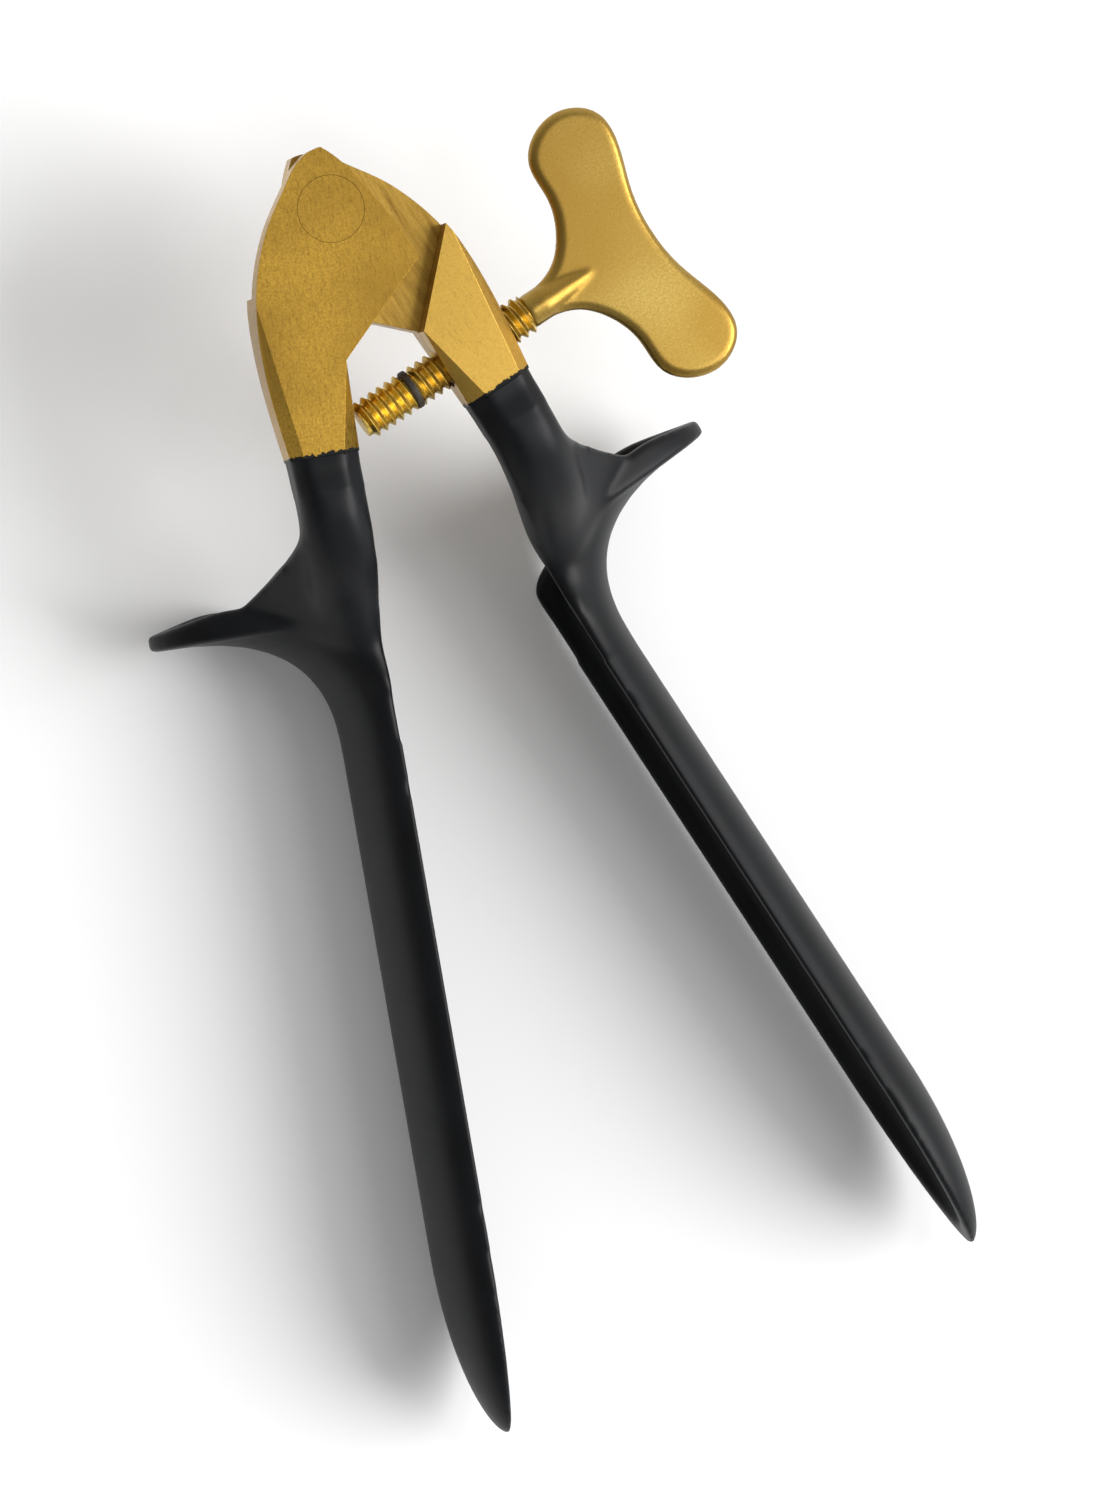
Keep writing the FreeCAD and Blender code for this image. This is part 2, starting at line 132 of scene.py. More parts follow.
# Surfaces.
EVEN_GRAIN = (1.0, 1.0, 1.0)
ARM_GRAIN = (1.0, 0.18, 1.0)
THREAD_GRAIN = (0.2, 1.0, 1.0)
LAP_STREAKS = (1.0, 0.08, 1.0)
# How far tone and speckle dull the brass; the right arm is dulled less, as painted light on its lit side.
LEFT_DULLNESS = 0.75
RIGHT_LIT_DULLNESS = 0.3
SPECKLE_SHARE = 0.8
SPOT_STRENGTH = 0.45
# The lap's floor gets painted shade in streaks: how strongly it is darkened, and the levels over which it
# fades out upwards.
STREAK_LEAST = 0.1
STREAK_MOST = 0.65
LAP_SHADE_FULL = LAP_PLANE + 0.2 * MM
LAP_SHADE_END = LAP_PLANE + 1.2 * MM
BRASS_GLOSSY = 0.26
BRASS_DULL = 0.38
BRASS_SPECULAR = 0.5
RAGGED_REACH = 1.3 * MM
RAGGED_SHIFT = -0.75 * MM
PAINT_START = COAT_LINE - 0.50 * MM
PAINT_FULL = COAT_LINE - 0.45 * MM
PAINT_HEIGHT = 1.6
BUMP_DEPTH = 0.02 * MM
BRASS_BUMP = 0.22
COAT_BUMP = 0.10
COAT_WORN = "#1B1D22"
COAT_WORN_STRENGTH = 0.3
COAT_GLOSSIER = 0.03
COAT_DULLER = 0.04
COAT_ROUGHNESS = 0.43
COAT_SPECULAR = 0.19
RING_ROUGHNESS = 0.6
DUST_STRENGTH = 0.4

# Stage: the sky's levels are for mirrored and soft light; the camera sees it white.
WHITE = "#FFFFFF"
FLOOR_REACH = 2.0
FLOOR_GAP = 0.1 * MM
SKY_FILL = 0.44
SKY_ZENITH = 0.60
SKY_LEFT = 0.34
SKY_RISE = (0.35, 0.95)
SKY_TURN = (-0.75, 0.45)
KEY_SPREAD = 42.0
KEY_STRENGTH = 3.0
KEY_FROM = (0.74, -0.50, 0.68)
GLOW_AT = (0.13, -0.11, 0.36)
GLOW_SIZE = 0.16
GLOW_TARGET = (0.005, -0.02, 0.0)
GLOW_WATTS = 0.23
CAMERA_LENS = 300.37
CAMERA_SENSOR = 36.0
CAMERA_CLIP = 10.0
CAMERA_AT = (-0.198661, 0.03936, 1.386836)
CAMERA_TURN = (-0.68, 8.79, 33.47)


def linear(text):
    """A linear RGBA colour from an sRGB hex value."""
    channels = [int(text[i : i + 2], 16) / 255 for i in (1, 3, 5)]
    return tuple(c / 12.92 if c <= 0.04045 else ((c + 0.055) / 1.055) ** 2.4 for c in channels) + (1.0,)


class SpeculumFinish(bpy.types.PropertyGroup):
    """Colours of the metal, the coat and the ring."""

    brass: FloatVectorProperty(
        name="Brass", description="Reflected colour of the bare brass", subtype="COLOR", size=4,
        min=0.0, max=1.0, default=linear("#C39A40"),
    )
    brass_dark: FloatVectorProperty(
        name="Dull brass", description="Brass where handling has dulled it", subtype="COLOR", size=4,
        min=0.0, max=1.0, default=linear("#94722F"),
    )
    # Painted light: brighter brass for the right arm's facets, which face the light.
    lit_brass: FloatVectorProperty(
        name="Lit brass", description="Brighter brass of the right arm's facets", subtype="COLOR",
        size=4, min=0.0, max=1.0, default=linear("#D6AE54"),
    )
    wing: FloatVectorProperty(
        name="Wing brass", description="Paler, greener brass of the thumbscrew's wing", subtype="COLOR",
        size=4, min=0.0, max=1.0, default=linear("#B39A55"),
    )
    thread: FloatVectorProperty(
        name="Thread brass", description="Freshly cut brass of the thread", subtype="COLOR", size=4,
        min=0.0, max=1.0, default=linear("#EBCB66"),
    )
    # Also the colour of the painted shade on the lap's floor.
    tarnish_and_shade: FloatVectorProperty(
        name="Tarnish", description="Small brown spots in the brass", subtype="COLOR", size=4,
        min=0.0, max=1.0, default=linear("#6B4A1C"),
    )
    coat: FloatVectorProperty(
        name="Coat", description="Satin black coat on the blades", subtype="COLOR", size=4,
        min=0.0, max=1.0, default=linear("#08090B"),
    )
    ring: FloatVectorProperty(
        name="Ring", description="Dark ring in the screw's groove", subtype="COLOR", size=4,
        min=0.0, max=1.0, default=linear("#231C12"),
    )


class SpeculumSizes(bpy.types.PropertyGroup):
    """Sizes of the drawn detail."""

    edge_break: FloatProperty(
        name="Edge break", description="Width of the softened edges on the brass arms", unit="LENGTH",
        default=0.24 * MM, min=0.0,
    )
    blade_voxel: FloatProperty(
        name="Blade grain", description="Mesh size of the blades' cast surface", unit="LENGTH",
        default=0.32 * MM, min=0.1 * MM,
    )
    blade_rounds: IntProperty(
        name="Blade rounding", description="How often the blades' surface is eased", default=10, min=0,
    )
    throat_rounds: IntProperty(
        name="Throat rounding", description="How often the shank's end is eased once more",
        default=26, min=0,
    )
    wing_voxel: FloatProperty(
        name="Wing grain", description="Mesh size of the thumbscrew's wing", unit="LENGTH",
        default=0.24 * MM, min=0.1 * MM,
    )
    wing_rounds: IntProperty(
        name="Wing rounding", description="How often the wing's surface is eased", default=2, min=0,
    )
    thread_pitch: FloatProperty(
        name="Thread pitch", description="Distance from crest to crest", unit="LENGTH", default=1.058 * MM,
    )
    thread_depth: FloatProperty(
        name="Thread depth", description="Distance from crest to root", unit="LENGTH", default=0.56 * MM,
    )


def left_half():
    """The matrix that carries the right half's own frame to the left half."""
    return Matrix.Rotation(-HALF_OPENING, 4, "Z") @ Matrix.Scale(-1, 4, (1, 0, 0))


def add_node(tree, kind, settings=None, links=None):
    """Add one node, with attributes or input values from settings and sources from links."""
    node = tree.nodes.new(kind)
    for key, value in (settings or {}).items():
        if isinstance(key, str) and hasattr(node, key):
            setattr(node, key, value)
        else:
            node.inputs[key].default_value = value
    for key, source in (links or {}).items():
        tree.links.new(source, node.inputs[key])
    return node


def feed(tree, socket, value):
    """Link a socket to another one, or give it a plain value."""
    if isinstance(value, bpy.types.NodeSocket):
        tree.links.new(value, socket)
    else:
        socket.default_value = value


def new_material(name):
    """An empty node material and its tree."""
    material = bpy.data.materials.new(name)
    material.use_nodes = True
    material.node_tree.nodes.clear()
    return material, material.node_tree


def finish_material(tree, shader):
    """Send a shader to the surface."""
    add_node(tree, "ShaderNodeOutputMaterial", links={"Surface": shader.outputs[0]})


def half_coordinates(tree, left):
    """Object coordinates in metres, turned so that -Y runs along the half."""
    coords = add_node(tree, "ShaderNodeTexCoord")
    turn = HALF_OPENING if left else 0.0
    mapping = add_node(
        tree, "ShaderNodeMapping", {"Rotation": (0.0, 0.0, turn)}, {"Vector": coords.outputs["Object"]}
    )
    return mapping.outputs["Vector"]


def stretched(tree, vector, scale):
    """A vector scaled unevenly, for grain that runs one way."""
    return add_node(tree, "ShaderNodeMapping", {"Scale": scale}, {"Vector": vector}).outputs["Vector"]


def noise_field(tree, vector, scale, detail=3.0, roughness=0.5):
    """A noise value at a scale given in cycles per metre."""
    node = add_node(
        tree, "ShaderNodeTexNoise",
        {"Scale": scale, "Detail": detail, "Roughness": roughness},
        {"Vector": vector},
    )
    return node.outputs["Fac"]


def ramp(tree, value, low, high, to_low=0.0, to_high=1.0):
    """A value carried from one range to another, clamped."""
    node = add_node(
        tree, "ShaderNodeMapRange",
        {"From Min": low, "From Max": high, "To Min": to_low, "To Max": to_high, "clamp": True},
        {"Value": value},
    )
    return node.outputs["Result"]


def mix_colour(tree, factor, first, second):
    """Two colours mixed by a factor; each is a colour or a socket."""
    node = add_node(tree, "ShaderNodeMix", {"data_type": "RGBA"})
    for index, value in ((0, factor), (6, first), (7, second)):
        feed(tree, node.inputs[index], value)
    return node.outputs[2]


def mix_value(tree, factor, first, second):
    """Two numbers mixed by a factor; each is a number or a socket."""
    node = add_node(tree, "ShaderNodeMix", {"data_type": "FLOAT"})
    for index, value in ((0, factor), (2, first), (3, second)):
        feed(tree, node.inputs[index], value)
    return node.outputs[0]


def lap_shade_streaks(tree, place):
    """How far the lap's floor is darkened with painted shade below the facets, broken into streaks like its
    brushed grain.
    """
    level = add_node(tree, "ShaderNodeSeparateXYZ", links={"Vector": place})
    drawn = stretched(tree, place, LAP_STREAKS)
    streaks = noise_field(tree, drawn, STREAK_SCALE, detail=3.0, roughness=0.6)
    streaked = ramp(tree, streaks, *STREAK_BAND, to_low=STREAK_LEAST, to_high=STREAK_MOST)
    shaded = ramp(tree, level.outputs["Z"], LAP_SHADE_FULL, LAP_SHADE_END, to_low=1.0, to_high=0.0)
    return mix_value(tree, shaded, 0.0, streaked)


def coat_edge(tree, place):
    """0 on bare brass and 1 on the coat, with the coat's ragged edge between them."""
    axis = add_node(tree, "ShaderNodeSeparateXYZ", links={"Vector": place})
    ragged = noise_field(tree, place, RAGGED_SCALE, detail=4.0, roughness=0.7)
    shift = add_node(
        tree, "ShaderNodeMath", {"operation": "MULTIPLY_ADD", 1: RAGGED_REACH, 2: RAGGED_SHIFT}, {0: ragged}
    )
    along = add_node(
        tree, "ShaderNodeMath", {"operation": "SUBTRACT"}, {0: shift.outputs[0], 1: axis.outputs["Y"]}
    )
    return ramp(tree, along.outputs[0], PAINT_START, PAINT_FULL)


def brass_material(
    name, finish, left=False, grain=ARM_GRAIN, coated=False, base=None, lap=False, dull=LEFT_DULLNESS
):
    """Satin yellow brass: fine dressed grain, slow changes of tone and a few faint brown oxide spots.

    coated: the black coat's ragged end runs over this piece. lap: its floor gets painted shade below the
    facets, in streaks.
    """
    material, tree = new_material(name)
    place = half_coordinates(tree, left)
    grit = noise_field(tree, stretched(tree, place, grain), GRIT_SCALE, detail=2.0, roughness=0.6)
    speckle = noise_field(tree, place, SPECKLE_SCALE, detail=2.0, roughness=0.6)
    tone = noise_field(tree, place, TONE_SCALE, detail=1.0, roughness=0.4)
    spots = noise_field(tree, place, SPOT_SCALE, detail=2.0, roughness=0.5)
    slow = ramp(tree, tone, *TONE_BAND, to_high=dull)
    fine = ramp(tree, speckle, *SPECKLE_BAND, to_high=SPECKLE_SHARE * dull)
    spotted = ramp(tree, spots, *SPOT_BAND, to_high=SPOT_STRENGTH)
    colour = mix_colour(tree, slow, base or finish.brass, finish.brass_dark)
    colour = mix_colour(tree, fine, colour, finish.brass_dark)
    colour = mix_colour(tree, spotted, colour, finish.tarnish_and_shade)
    # Painted shade: the lap's floor below the facets is darkened towards the tarnish colour, in streaks.
    if lap:
        colour = mix_colour(tree, lap_shade_streaks(tree, place), colour, finish.tarnish_and_shade)
    roughness = ramp(tree, grit, *GRIT_BAND, to_low=BRASS_GLOSSY, to_high=BRASS_DULL)
    height = mix_value(tree, 0.5, grit, speckle)
    metallic = 1.0
    if coated:
        painted = coat_edge(tree, place)
        colour = mix_colour(tree, painted, colour, finish.coat)
        roughness = mix_value(tree, painted, roughness, COAT_ROUGHNESS)
        metallic = mix_value(tree, painted, 1.0, 0.0)
        height = mix_value(tree, painted, height, PAINT_HEIGHT)
    bump = add_node(
        tree, "ShaderNodeBump", {"Strength": BRASS_BUMP, "Distance": BUMP_DEPTH}, {"Height": height}
    )
    shader = add_node(
        tree, "ShaderNodeBsdfPrincipled",
        {"Specular IOR Level": COAT_SPECULAR if coated else BRASS_SPECULAR},
        {"Base Color": colour, "Roughness": roughness, "Normal": bump.outputs["Normal"]},
    )
    feed(tree, shader.inputs["Metallic"], metallic)
    finish_material(tree, shader)
    return material


def coat_material(name, finish, left=False):
    """Satin black stoved coat on brass: even, faintly pebbled, a little glossier where it is handled."""
    material, tree = new_material(name)
    place = half_coordinates(tree, left)
    pebble = noise_field(tree, place, PEBBLE_SCALE, detail=2.0, roughness=0.5)
    wear = noise_field(tree, place, WEAR_SCALE, detail=3.0, roughness=0.55)
    worn = ramp(tree, wear, *COAT_WORN_BAND, to_high=COAT_WORN_STRENGTH)
    roughness = ramp(
        tree, wear, *COAT_GLOSS_BAND,
        to_low=COAT_ROUGHNESS - COAT_GLOSSIER, to_high=COAT_ROUGHNESS + COAT_DULLER,
    )
    colour = mix_colour(tree, worn, finish.coat, linear(COAT_WORN))
    bump = add_node(
        tree, "ShaderNodeBump", {"Strength": COAT_BUMP, "Distance": BUMP_DEPTH}, {"Height": pebble}
    )
    shader = add_node(
        tree, "ShaderNodeBsdfPrincipled", {"Specular IOR Level": COAT_SPECULAR},
        {"Base Color": colour, "Roughness": roughness, "Normal": bump.outputs["Normal"]},
    )
    finish_material(tree, shader)
    return material


def ring_material(name, finish):
    """A dull dark ring, greasy with brass dust."""
    material, tree = new_material(name)
    place = half_coordinates(tree, False)
    dust = noise_field(tree, place, DUST_SCALE, detail=2.0, roughness=0.5)
    dusty = ramp(tree, dust, *DUST_BAND, to_high=DUST_STRENGTH)
    colour = mix_colour(tree, dusty, finish.ring, finish.tarnish_and_shade)
    shader = add_node(
        tree, "ShaderNodeBsdfPrincipled", {"Roughness": RING_ROUGHNESS}, {"Base Color": colour}
    )
    finish_material(tree, shader)
    return material


def merged_copy(node_name):
    """A bmesh of a CAD node's mesh with its loose triangles joined."""
    shell = bmesh.new()
    shell.from_mesh(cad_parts[node_name].data)
    bmesh.ops.remove_doubles(shell, verts=shell.verts, dist=SAME_POINT)
    return shell


def ease(shell, verts, rounds):
    """Smooth some vertices of a bmesh a number of times."""
    for _ in range(rounds):
        bmesh.ops.smooth_vert(
            shell, verts=verts, factor=0.5, use_axis_x=True, use_axis_y=True, use_axis_z=True
        )


def piece_from(shell, name, body, material, replaced):
    """Turn a bmesh into a finished piece that rides on a body and stands for a CAD node."""
    mesh = bpy.data.meshes.new(name)
    shell.to_mesh(mesh)
    shell.free()
    mesh.materials.append(material)
    mesh.shade_smooth()
    piece = bpy.data.objects.new(name, mesh)
    bpy.context.scene.collection.objects.link(piece)
    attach(piece, body)
    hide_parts(replaced)
    return piece


def eased(shell, voxel, rounds):
    """The shell remeshed to even squares and smoothed, as a casting is fettled."""
    mesh = bpy.data.meshes.new("rough")
    shell.to_mesh(mesh)
    shell.free()
    rough = bpy.data.objects.new("rough", mesh)
    bpy.context.scene.collection.objects.link(rough)
    remesh = rough.modifiers.new("Even", "REMESH")
    remesh.mode = "VOXEL"
    remesh.voxel_size = voxel
    remesh.adaptivity = 0.0
    bpy.context.view_layer.update()
    even = bpy.data.meshes.new_from_object(rough.evaluated_get(bpy.context.evaluated_depsgraph_get()))
    smooth = bmesh.new()
    smooth.from_mesh(even)
    ease(smooth, smooth.verts, rounds)
    bpy.data.objects.remove(rough)
    bpy.data.meshes.remove(mesh)
    bpy.data.meshes.remove(even)
    return smooth


def weigh_edges(shell, angle, keep_sharp):
    """Mark the edges that are to be broken, but none within a distance of the hinge axis."""
    weight = shell.edges.layers.float.new("bevel_weight_edge")
    for edge in shell.edges:
        far = all(math.hypot(vert.co.x, vert.co.y) > keep_sharp for vert in edge.verts)
        if far and edge.is_manifold and edge.calc_face_angle() > angle:
            edge[weight] = 1.0


def soften_edges(piece, width):
    """Break the marked edges and keep flat faces flat."""
    bevel = piece.modifiers.new("Edge break", "BEVEL")
    bevel.width = width
    bevel.segments = BREAK_STEPS
    bevel.limit_method = "WEIGHT"
    bevel.harden_normals = True
    bevel.use_clamp_overlap = True


class SPECULUM_OT_arms(bpy.types.Operator):
    """Add the two brass arms and the flush hinge rivet"""

    bl_idname = "speculum.arms"
    bl_label = "Brass arms"

    def execute(self, context):
        finish = context.scene.speculum_finish
        sizes = context.scene.speculum_sizes
        for node, body, left in (("right_arm", "right_half", False), ("left_arm", "left_half", True)):
            # Painted light and shade: the right arm gets a brighter base and less dulling, as the side
            # facing the light, and painted shade on its lap's floor.
            material = brass_material(
                "satin_brass_" + node, finish, left, coated=True, base=None if left else finish.lit_brass,
                lap=not left, dull=LEFT_DULLNESS if left else RIGHT_LIT_DULLNESS,
            )
            shell = merged_copy(node)
            bmesh.ops.dissolve_limit(
                shell, angle_limit=FLAT_ANGLE, verts=shell.verts, edges=shell.edges
            )
            weigh_edges(shell, SHARP_ANGLE, PIN_SURROUND)
            piece = piece_from(shell, node + "_dressed", body, material, node)
            piece.data.set_sharp_from_angle(angle=SHARP_ANGLE)
            soften_edges(piece, sizes.edge_break)
        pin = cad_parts["pivot_pin"]
        pin.data.materials.clear()
        pin.data.materials.append(brass_material("satin_brass_rivet", finish, True))
        return {"FINISHED"}


class SPECULUM_OT_blades(bpy.types.Operator):
    """Add the two black coated blades with their shanks and lip flanges"""

    bl_idname = "speculum.blades"
    bl_label = "Coated blades"

    def execute(self, context):
        finish = context.scene.speculum_finish
        sizes = context.scene.speculum_sizes
        shell = merged_copy("right_blade")
        end_faces = [
            face for face in shell.faces
            if all(abs(vert.co.y + COAT_LINE) < COAT_LINE_SLACK for vert in face.verts)
        ]
        stub = bmesh.ops.extrude_face_region(shell, geom=end_faces)
        stub_verts = [item for item in stub["geom"] if isinstance(item, bmesh.types.BMVert)]
        bmesh.ops.translate(shell, verts=stub_verts, vec=(0.0, END_STUB, 0.0))
        bmesh.ops.delete(shell, geom=end_faces, context="FACES")
        shell = eased(shell, sizes.blade_voxel, sizes.blade_rounds)
        throat = [
            vert for vert in shell.verts
            if THROAT_NEAR < -vert.co.y < THROAT_FAR and vert.co.x < THROAT_REACH
        ]
        ease(shell, throat, sizes.throat_rounds)
        bmesh.ops.bisect_plane(
            shell, geom=shell.verts[:] + shell.edges[:] + shell.faces[:], dist=TOUCHING,
            plane_co=(0.0, -COAT_LINE, 0.0), plane_no=(0.0, 1.0, 0.0), clear_outer=True,
        )
        bmesh.ops.holes_fill(shell, edges=[edge for edge in shell.edges if edge.is_boundary], sides=0)
        other = shell.copy()
        bmesh.ops.transform(other, matrix=left_half(), verts=other.verts)
        bmesh.ops.reverse_faces(other, faces=other.faces)
        piece_from(
            shell, "right_blade_dressed", "right_half",
            coat_material("satin_black_coat_right", finish), "right_blade",
        )
        piece_from(
            other, "left_blade_dressed", "left_half",
            coat_material("satin_black_coat_left", finish, True), "left_blade",
        )
        return {"FINISHED"}


def thread_shell(low, high, pitch, depth):
    """A helical thread between two planes across the X axis, closed at both ends."""
    shell = bmesh.new()
    root = THREAD_RADIUS - depth
    start = low - 2 * pitch
    verts = [
        shell.verts.new((start + along * pitch, SCREW_AXIS_Y + root + rise * depth, SCREW_AXIS_Z))
        for along, rise in THREAD_PROFILE
    ]
    edges = [shell.edges.new(pair) for pair in zip(verts, verts[1:])]
    turns = math.ceil((high - low) / pitch) + 3
    bmesh.ops.spin(
        shell, geom=verts + edges, cent=(0.0, SCREW_AXIS_Y, SCREW_AXIS_Z), axis=(1.0, 0.0, 0.0),
        dvec=(pitch / THREAD_STEPS, 0.0, 0.0), angle=turns * math.tau, steps=turns * THREAD_STEPS,
    )
    bmesh.ops.remove_doubles(shell, verts=shell.verts, dist=THREAD_MERGE)
    for plane, side in ((low, -1.0), (high, 1.0)):
        bmesh.ops.bisect_plane(
            shell, geom=shell.verts[:] + shell.edges[:] + shell.faces[:], dist=TOUCHING,
            plane_co=(plane, 0.0, 0.0), plane_no=(side, 0.0, 0.0), clear_outer=True,
        )
    bmesh.ops.holes_fill(shell, edges=[edge for edge in shell.edges if edge.is_boundary], sides=0)
    bmesh.ops.recalc_face_normals(shell, faces=shell.faces)
    return shell


def chamfer_tip(rod, tip):
    """Draw the thread in to a cone at the screw's free end."""
    for vert in rod.verts:
        limit = THREAD_RADIUS - TIP_CHAMFER + (vert.co.x - tip)
        across = Vector((0.0, vert.co.y - SCREW_AXIS_Y, vert.co.z - SCREW_AXIS_Z))
        if across.length > limit:
            across *= limit / across.length
            vert.co = Vector((vert.co.x, SCREW_AXIS_Y + across.y, SCREW_AXIS_Z + across.z))


def ring_outline(low, high):
    """The ring's section with rounded corners, as closed (x, radius) points."""
    middle = (low + high) / 2
    half = (high - low) / 2 - RING_INSET
    centre = (RING_OUTER + RING_INNER) / 2
    rise = (RING_OUTER - RING_INNER) / 2 - RING_ROUND
    outline = []
    for turn, (side_x, side_r) in enumerate(((1, 1), (-1, 1), (-1, -1), (1, -1))):
        for step in range(RING_CORNER_STEPS + 1):
            angle = (turn + step / RING_CORNER_STEPS) * math.pi / 2
            outline.append((
                middle + side_x * (half - RING_ROUND) + RING_ROUND * math.cos(angle),
                centre + side_r * rise + RING_ROUND * math.sin(angle),
            ))
    return outline + outline[:1]


def turned(profile):
    """A closed round form about the screw's axis from (x, radius) points."""
    shell = bmesh.new()
    verts = [shell.verts.new((x, SCREW_AXIS_Y + radius, SCREW_AXIS_Z)) for x, radius in profile]
    edges = [shell.edges.new(pair) for pair in zip(verts, verts[1:])]
    bmesh.ops.spin(
        shell, geom=verts + edges, cent=(0.0, SCREW_AXIS_Y, SCREW_AXIS_Z), axis=(1.0, 0.0, 0.0),
        angle=math.tau, steps=ROUND_STEPS, use_merge=True,
    )
    bmesh.ops.remove_doubles(shell, verts=shell.verts, dist=TOUCHING)
    bmesh.ops.recalc_face_normals(shell, faces=shell.faces)
    return shell


def join_shells(first, second):
    """Add one bmesh's faces to another."""
    mesh = bpy.data.meshes.new("part")
    second.to_mesh(mesh)
    second.free()
    first.from_mesh(mesh)
    bpy.data.meshes.remove(mesh)


class SPECULUM_OT_screw(bpy.types.Operator):
    """Add the threaded rod and the ring in its groove"""

    bl_idname = "speculum.screw"
    bl_label = "Threaded rod"

    def execute(self, context):
        finish = context.scene.speculum_finish
        sizes = context.scene.speculum_sizes
        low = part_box("screw_shank")[0]
        ring_low, ring_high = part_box("friction_ring")
        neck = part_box("screw_wing")[0].x
        pitch, depth = sizes.thread_pitch, sizes.thread_depth
        rod = thread_shell(low.x, ring_low.x - RING_GAP, pitch, depth)
        chamfer_tip(rod, low.x)
        join_shells(rod, thread_shell(ring_high.x + RING_GAP, neck, pitch, depth))
        core_low, core_high = ring_low.x - CORE_OVERLAP, ring_high.x + CORE_OVERLAP
        join_shells(
            rod,
            turned(((core_low, 0.0), (core_low, CORE_RADIUS), (core_high, CORE_RADIUS), (core_high, 0.0))),
        )
        piece = piece_from(
            rod, "screw_thread", "thumbscrew",
            brass_material("turned_brass_thread", finish, grain=THREAD_GRAIN, base=finish.thread),
            "screw_shank",
        )
        piece.data.set_sharp_from_angle(angle=THREAD_CREASE)
        piece_from(
            turned(ring_outline(ring_low.x, ring_high.x)), "friction_ring_dressed", "screw_ring",
            ring_material("dull_dark_ring", finish), "friction_ring",
        )
        return {"FINISHED"}


class SPECULUM_OT_wing(bpy.types.Operator):
    """Add the thumbscrew's flat dog-bone wing"""

    bl_idname = "speculum.wing"
    bl_label = "Thumbscrew wing"

    def execute(self, context):
        finish = context.scene.speculum_finish
        sizes = context.scene.speculum_sizes
        shell = eased(merged_copy("screw_wing"), sizes.wing_voxel, sizes.wing_rounds)
        piece_from(
            shell, "screw_wing_dressed", "thumbscrew",
            brass_material("satin_brass_wing", finish, grain=EVEN_GRAIN, base=finish.wing),
            "screw_wing",
        )
        return {"FINISHED"}


def add_floor():
    """A white paper floor just below the piece, which keeps its shadow."""
    shell = bmesh.new()
    bmesh.ops.create_grid(shell, x_segments=1, y_segments=1, size=FLOOR_REACH)
    mesh = bpy.data.meshes.new("floor")
    shell.to_mesh(mesh)
    shell.free()
    mesh.transform(Matrix.Translation((0.0, 0.0, CAD_LOW.z - FLOOR_GAP)))
    material, tree = new_material("white_paper")
    paper = add_node(tree, "ShaderNodeBsdfDiffuse", {"Color": linear(WHITE)})
    finish_material(tree, paper)
    mesh.materials.append(material)
    floor = bpy.data.objects.new("floor", mesh)
    bpy.context.scene.collection.objects.link(floor)


def studio_world():
    """White to the camera, a level fill for soft light, and a dome that darkens upwards and to the left."""
    world = bpy.data.worlds.new("studio")
    world.use_nodes = True
    tree = world.node_tree
    tree.nodes.clear()
    path = add_node(tree, "ShaderNodeLightPath")
    seen = add_node(
        tree, "ShaderNodeMath", {"operation": "MAXIMUM"},
        {0: path.outputs["Is Camera Ray"], 1: path.outputs["Is Transmission Ray"]},
    )
    mirrored = add_node(
        tree, "ShaderNodeMath", {"operation": "MAXIMUM"},
        {0: seen.outputs[0], 1: path.outputs["Is Glossy Ray"]},
    )
    direction = add_node(tree, "ShaderNodeTexCoord")
    axes = add_node(tree, "ShaderNodeSeparateXYZ", links={"Vector": direction.outputs["Generated"]})
    dome = add_node(
        tree, "ShaderNodeMath", {"operation": "MULTIPLY"},
        {
            0: ramp(tree, axes.outputs["Z"], *SKY_RISE, to_low=1.0, to_high=SKY_ZENITH),
            1: ramp(tree, axes.outputs["X"], *SKY_TURN, to_low=SKY_LEFT, to_high=1.0),
        },
    )
    level = mix_value(tree, seen.outputs[0], dome.outputs[0], 1.0)
    sky = add_node(
        tree, "ShaderNodeBackground", {"Color": linear(WHITE)},
        {"Strength": mix_value(tree, mirrored.outputs[0], SKY_FILL, level)},
    )
    add_node(tree, "ShaderNodeOutputWorld", links={"Surface": sky.outputs[0]})
    return world


def add_lamp(light, location, direction):
    """Hang a lamp that shines from a direction."""
    lamp = bpy.data.objects.new(light.name, light)
    lamp.location = location
    lamp.rotation_euler = Vector(direction).to_track_quat("Z", "Y").to_euler()
    bpy.context.scene.collection.objects.link(lamp)


def add_camera():
    """The camera at the photograph's angle."""
    camera = bpy.data.cameras.new("camera")
    camera.lens = CAMERA_LENS
    camera.sensor_width = CAMERA_SENSOR
    camera.clip_end = CAMERA_CLIP
    tilt, lean, turn = (math.radians(angle) for angle in CAMERA_TURN)
    view = (
        Euler((tilt, 0, 0)).to_matrix() @ Euler((0, lean, 0)).to_matrix() @ Euler((0, 0, turn)).to_matrix()
    )
    camera_object = bpy.data.objects.new("camera", camera)
    camera_object.matrix_world = Matrix.Translation(CAMERA_AT) @ view.transposed().to_4x4()
    bpy.context.scene.collection.objects.link(camera_object)
    return camera_object


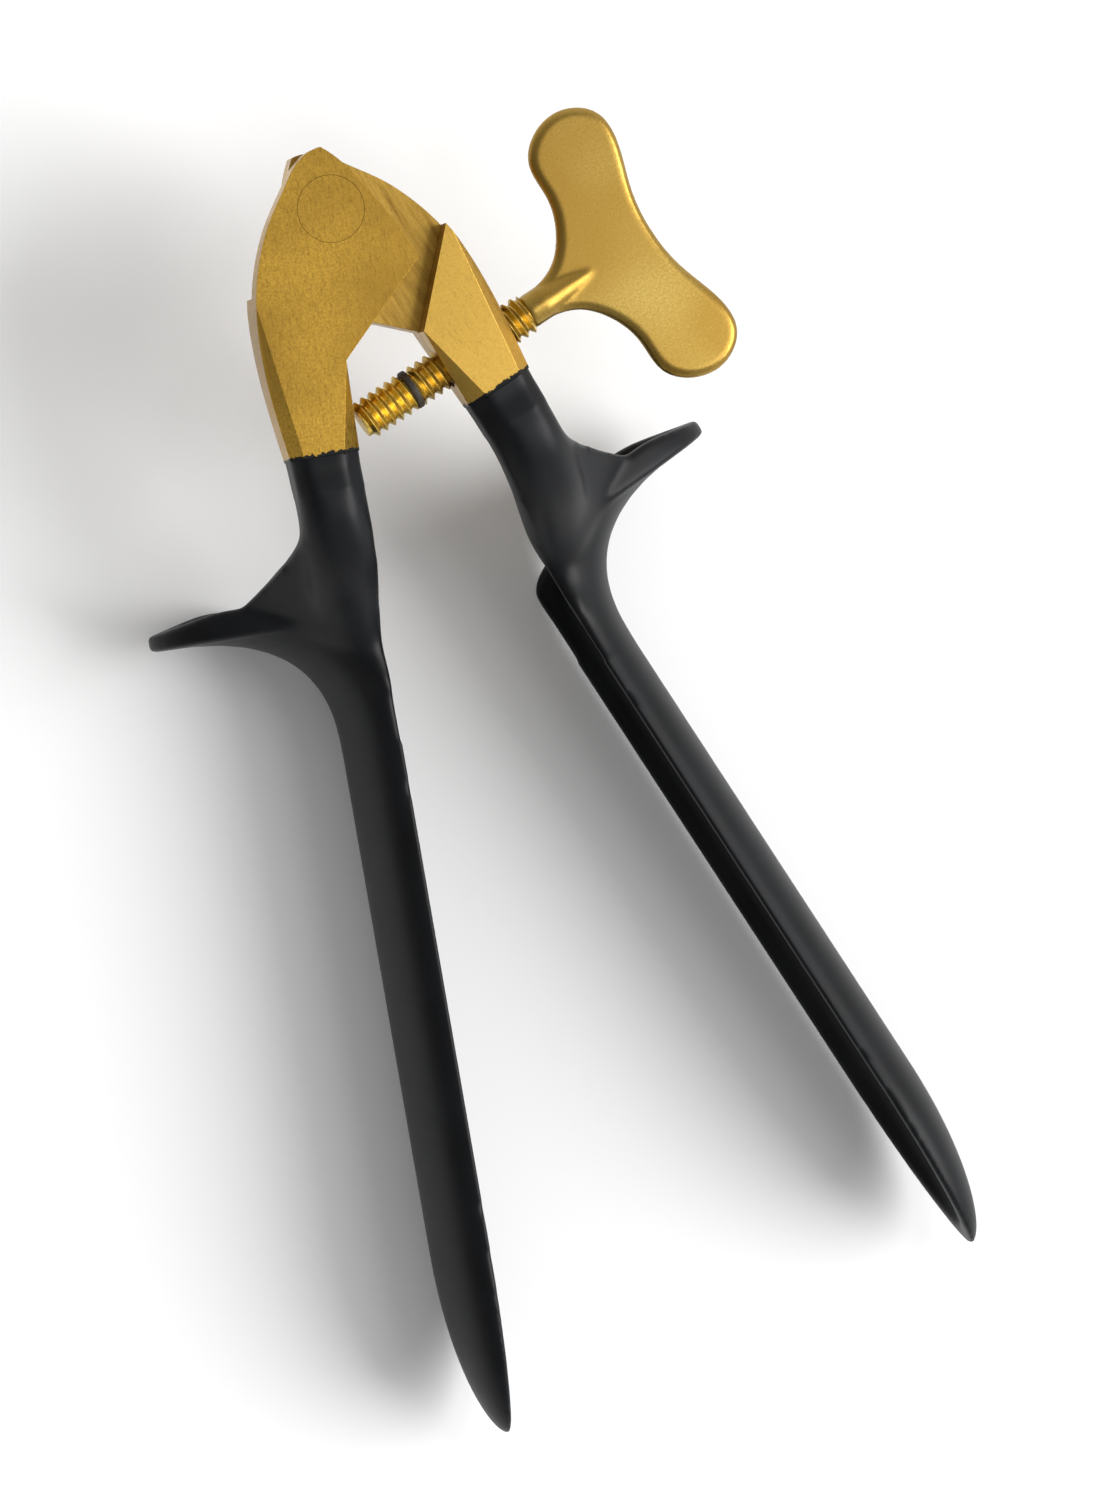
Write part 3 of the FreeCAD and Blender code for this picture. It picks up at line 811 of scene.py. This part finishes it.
class SPECULUM_OT_stage(bpy.types.Operator):
    """Add the white floor, the soft light and the camera"""

    bl_idname = "speculum.stage"
    bl_label = "Floor, light and camera"

    def execute(self, context):
        add_floor()
        context.scene.world = studio_world()
        key = bpy.data.lights.new("key", "SUN")
        key.angle = math.radians(KEY_SPREAD)
        key.energy = KEY_STRENGTH
        add_lamp(key, (0.0, 0.0, 0.0), KEY_FROM)
        glow = bpy.data.lights.new("glow", "AREA")
        glow.shape = "DISK"
        glow.size = GLOW_SIZE
        glow.energy = GLOW_WATTS
        add_lamp(glow, GLOW_AT, Vector(GLOW_AT) - Vector(GLOW_TARGET))
        context.scene.camera = add_camera()
        context.scene.view_settings.view_transform = "Standard"
        return {"FINISHED"}


class SPECULUM_PT_panel(bpy.types.Panel):
    """Lists the speculum's operators and settings"""

    bl_idname = "SPECULUM_PT_panel"
    bl_label = "Speculum"
    bl_space_type = "VIEW_3D"
    bl_region_type = "UI"
    bl_category = "Speculum"

    def draw(self, context):
        for operator in OPERATORS:
            self.layout.operator(operator.bl_idname)
        for group in (context.scene.speculum_finish, context.scene.speculum_sizes):
            for name in group.bl_rna.properties.keys():
                if name not in ("rna_type", "name"):
                    self.layout.prop(group, name)


OPERATORS = (
    SPECULUM_OT_arms,
    SPECULUM_OT_blades,
    SPECULUM_OT_screw,
    SPECULUM_OT_wing,
    SPECULUM_OT_stage,
)
CLASSES = (SpeculumFinish, SpeculumSizes) + OPERATORS + (SPECULUM_PT_panel,)


def register():
    """Register the classes and hang the settings on the scene."""
    for item in CLASSES:
        bpy.utils.register_class(item)
    bpy.types.Scene.speculum_finish = PointerProperty(type=SpeculumFinish)
    bpy.types.Scene.speculum_sizes = PointerProperty(type=SpeculumSizes)


def unregister():
    """Take the settings and classes away again."""
    del bpy.types.Scene.speculum_sizes
    del bpy.types.Scene.speculum_finish
    for item in reversed(CLASSES):
        bpy.utils.unregister_class(item)


def main():
    """Build every piece and the stage."""
    register()
    bpy.ops.speculum.arms()
    bpy.ops.speculum.blades()
    bpy.ops.speculum.screw()
    bpy.ops.speculum.wing()
    bpy.ops.speculum.stage()


if __name__ == "__main__":
    main()
